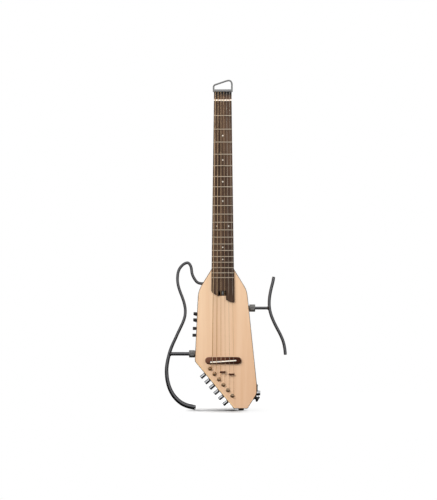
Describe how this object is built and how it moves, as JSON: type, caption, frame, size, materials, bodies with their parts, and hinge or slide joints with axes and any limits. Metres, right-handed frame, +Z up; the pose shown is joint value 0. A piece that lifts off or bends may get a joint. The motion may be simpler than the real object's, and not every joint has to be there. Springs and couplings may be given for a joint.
{
  "type": "headless acoustic-electric guitar",
  "caption": "Headless travel acoustic-electric guitar: slim solid body, tuners on a slanted lower edge, side controls and two detachable bent tube frames.",
  "frame": {"origin": "middle of the end foot's face, under the body", "axes": "+Z up the neck, strings face -Y, +X towards the treble side and the right frame"},
  "size_m": [0.3085, 0.0575, 0.8336],
  "materials": {
    "spruce_top": "satin lacquer",
    "body_wood": "satin lacquer",
    "neck_wood": "satin lacquer",
    "rosewood": "open-pored, oiled",
    "bridge_wood": "polished",
    "bone": "polished",
    "satin_metal": "satin",
    "chrome": "polished",
    "post_metal": "plated, polished",
    "nickel": "nickel plate",
    "frame_tube": "satin dark grey",
    "dark_plastic": "satin",
    "black_plastic": "matt",
    "rubber": "matt",
    "steel": "plain",
    "wound_string": "bronze wound",
    "circuit": "solder mask",
    "cell": "plain wrap",
    "nut_brass": "plain"
  },
  "bodies": {
    "instrument": {"body_core": "body_wood", "soundboard": "spruce_top", "neck": "neck_wood", "truss_rod": "steel", "fingerboard": "rosewood", "nut": "bone", "string_anchor": "satin_metal", "head_loop": "satin_metal", "saddle_pickup": "nickel", "saddle": "bone", "bridge": "bridge_wood", "string_retainer_1": "bridge_wood", "string_retainer_2": "bridge_wood", "preamp_module": "circuit", "rear_cover": "black_plastic", "battery": "cell", "left_socket": "dark_plastic", "upper_socket": "dark_plastic", "right_socket": "dark_plastic", "end_foot": "rubber", "strap_button": "black_plastic", "output_jack": "chrome", "jack_plate": "dark_plastic", "tuner_housing_1": "nickel", "string_1": "wound_string", "tuner_housing_2": "nickel", "string_2": "wound_string", "tuner_housing_3": "nickel", "string_3": "wound_string", "tuner_housing_4": "nickel", "string_4": "wound_string", "tuner_housing_5": "nickel", "string_5": "steel", "tuner_housing_6": "nickel", "string_6": "steel"},
    "left_frame": {"left_frame": "frame_tube", "left_end_cap": "black_plastic"},
    "left_collar": {"left_collar": "satin_metal"},
    "right_frame": {"right_frame": "frame_tube", "right_upper_cap": "black_plastic", "right_lower_cap": "black_plastic"},
    "right_collar": {"right_collar": "satin_metal"},
    "truss_rod_nut": {"truss_rod_nut": "nut_brass"},
    "battery_cover": {"battery_cover": "black_plastic"},
    "tuner_key_1": {"tuner_key_1": "chrome"},
    "tuner_post_1": {"tuner_post_1": "post_metal"},
    "tuner_key_2": {"tuner_key_2": "chrome"},
    "tuner_post_2": {"tuner_post_2": "post_metal"},
    "tuner_key_3": {"tuner_key_3": "chrome"},
    "tuner_post_3": {"tuner_post_3": "post_metal"},
    "tuner_key_4": {"tuner_key_4": "chrome"},
    "tuner_post_4": {"tuner_post_4": "post_metal"},
    "tuner_key_5": {"tuner_key_5": "chrome"},
    "tuner_post_5": {"tuner_post_5": "post_metal"},
    "tuner_key_6": {"tuner_key_6": "chrome"},
    "tuner_post_6": {"tuner_post_6": "post_metal"},
    "control_knob_1": {"control_knob_1": "black_plastic"},
    "control_knob_2": {"control_knob_2": "black_plastic"},
    "control_knob_3": {"control_knob_3": "black_plastic"},
    "control_knob_4": {"control_knob_4": "black_plastic"}
  },
  "joints": [
    {"name": "left_frame_pull", "type": "slide", "parent": "instrument", "child": "left_frame", "axis": [-1, 0, 0], "range_m": [0, 0.03]},
    {"name": "left_collar_turn", "type": "hinge", "parent": "left_frame", "child": "left_collar", "pos_m": [-0.1243, 0, 0.1426], "axis": [-1, 0, 0], "range_deg": [0, 540]},
    {"name": "right_frame_pull", "type": "slide", "parent": "instrument", "child": "right_frame", "axis": [1, 0, 0], "range_m": [0, 0.03]},
    {"name": "right_collar_turn", "type": "hinge", "parent": "right_frame", "child": "right_collar", "pos_m": [0.0292, 0, 0.2582], "axis": [1, 0, 0], "range_deg": [0, 540]},
    {"name": "truss_rod_nut_turn", "type": "hinge", "parent": "instrument", "child": "truss_rod_nut", "pos_m": [-0.0466, -0.0148, 0.2974], "axis": [0, 0, 1], "range_deg": [-180, 180]},
    {"name": "battery_cover_open", "type": "hinge", "parent": "instrument", "child": "battery_cover", "pos_m": [-0.03522, 0.0225, 0.19486], "axis": [0, 0, 1], "range_deg": [0, 110]},
    {"name": "tuner_key_1_turn", "type": "hinge", "parent": "instrument", "child": "tuner_key_1", "pos_m": [-0.07616, 0.0008, 0.10347], "axis": [-0.7706, 0, -0.6373], "continuous": true},
    {"name": "tuner_post_1_turn", "type": "hinge", "parent": "instrument", "child": "tuner_post_1", "pos_m": [-0.07883, 0, 0.10671], "axis": [0, 1, 0], "continuous": true},
    {"name": "tuner_key_2_turn", "type": "hinge", "parent": "instrument", "child": "tuner_key_2", "pos_m": [-0.06486, 0.0008, 0.08981], "axis": [-0.7706, 0, -0.6373], "continuous": true},
    {"name": "tuner_post_2_turn", "type": "hinge", "parent": "instrument", "child": "tuner_post_2", "pos_m": [-0.06753, 0, 0.09304], "axis": [0, 1, 0], "continuous": true},
    {"name": "tuner_key_3_turn", "type": "hinge", "parent": "instrument", "child": "tuner_key_3", "pos_m": [-0.05356, 0.0008, 0.07615], "axis": [-0.7706, 0, -0.6373], "continuous": true},
    {"name": "tuner_post_3_turn", "type": "hinge", "parent": "instrument", "child": "tuner_post_3", "pos_m": [-0.05623, 0, 0.07938], "axis": [0, 1, 0], "continuous": true},
    {"name": "tuner_key_4_turn", "type": "hinge", "parent": "instrument", "child": "tuner_key_4", "pos_m": [-0.04226, 0.0008, 0.06248], "axis": [-0.7706, 0, -0.6373], "continuous": true},
    {"name": "tuner_post_4_turn", "type": "hinge", "parent": "instrument", "child": "tuner_post_4", "pos_m": [-0.04493, 0, 0.06572], "axis": [0, 1, 0], "continuous": true},
    {"name": "tuner_key_5_turn", "type": "hinge", "parent": "instrument", "child": "tuner_key_5", "pos_m": [-0.03096, 0.0008, 0.04882], "axis": [-0.7706, 0, -0.6373], "continuous": true},
    {"name": "tuner_post_5_turn", "type": "hinge", "parent": "instrument", "child": "tuner_post_5", "pos_m": [-0.03363, 0, 0.05206], "axis": [0, 1, 0], "continuous": true},
    {"name": "tuner_key_6_turn", "type": "hinge", "parent": "instrument", "child": "tuner_key_6", "pos_m": [-0.01966, 0.0008, 0.03516], "axis": [-0.7706, 0, -0.6373], "continuous": true},
    {"name": "tuner_post_6_turn", "type": "hinge", "parent": "instrument", "child": "tuner_post_6", "pos_m": [-0.02233, 0, 0.03839], "axis": [0, 1, 0], "continuous": true},
    {"name": "control_knob_1_turn", "type": "hinge", "parent": "instrument", "child": "control_knob_1", "pos_m": [-0.115, 0, 0.2439], "axis": [-1, 0, 0], "range_deg": [-150, 150]},
    {"name": "control_knob_2_turn", "type": "hinge", "parent": "instrument", "child": "control_knob_2", "pos_m": [-0.115, 0, 0.22832], "axis": [-1, 0, 0], "range_deg": [-150, 150]},
    {"name": "control_knob_3_turn", "type": "hinge", "parent": "instrument", "child": "control_knob_3", "pos_m": [-0.115, 0, 0.20677], "axis": [-1, 0, 0], "range_deg": [-150, 150]},
    {"name": "control_knob_4_turn", "type": "hinge", "parent": "instrument", "child": "control_knob_4", "pos_m": [-0.115, 0, 0.18961], "axis": [-1, 0, 0], "range_deg": [-150, 150]}
  ],
  "couplings": [
    {"joint": "tuner_post_1_turn", "follows": "tuner_key_1_turn", "ratio": 0.066667},
    {"joint": "tuner_post_2_turn", "follows": "tuner_key_2_turn", "ratio": 0.066667},
    {"joint": "tuner_post_3_turn", "follows": "tuner_key_3_turn", "ratio": 0.066667},
    {"joint": "tuner_post_4_turn", "follows": "tuner_key_4_turn", "ratio": 0.066667},
    {"joint": "tuner_post_5_turn", "follows": "tuner_key_5_turn", "ratio": 0.066667},
    {"joint": "tuner_post_6_turn", "follows": "tuner_key_6_turn", "ratio": 0.066667}
  ]
}
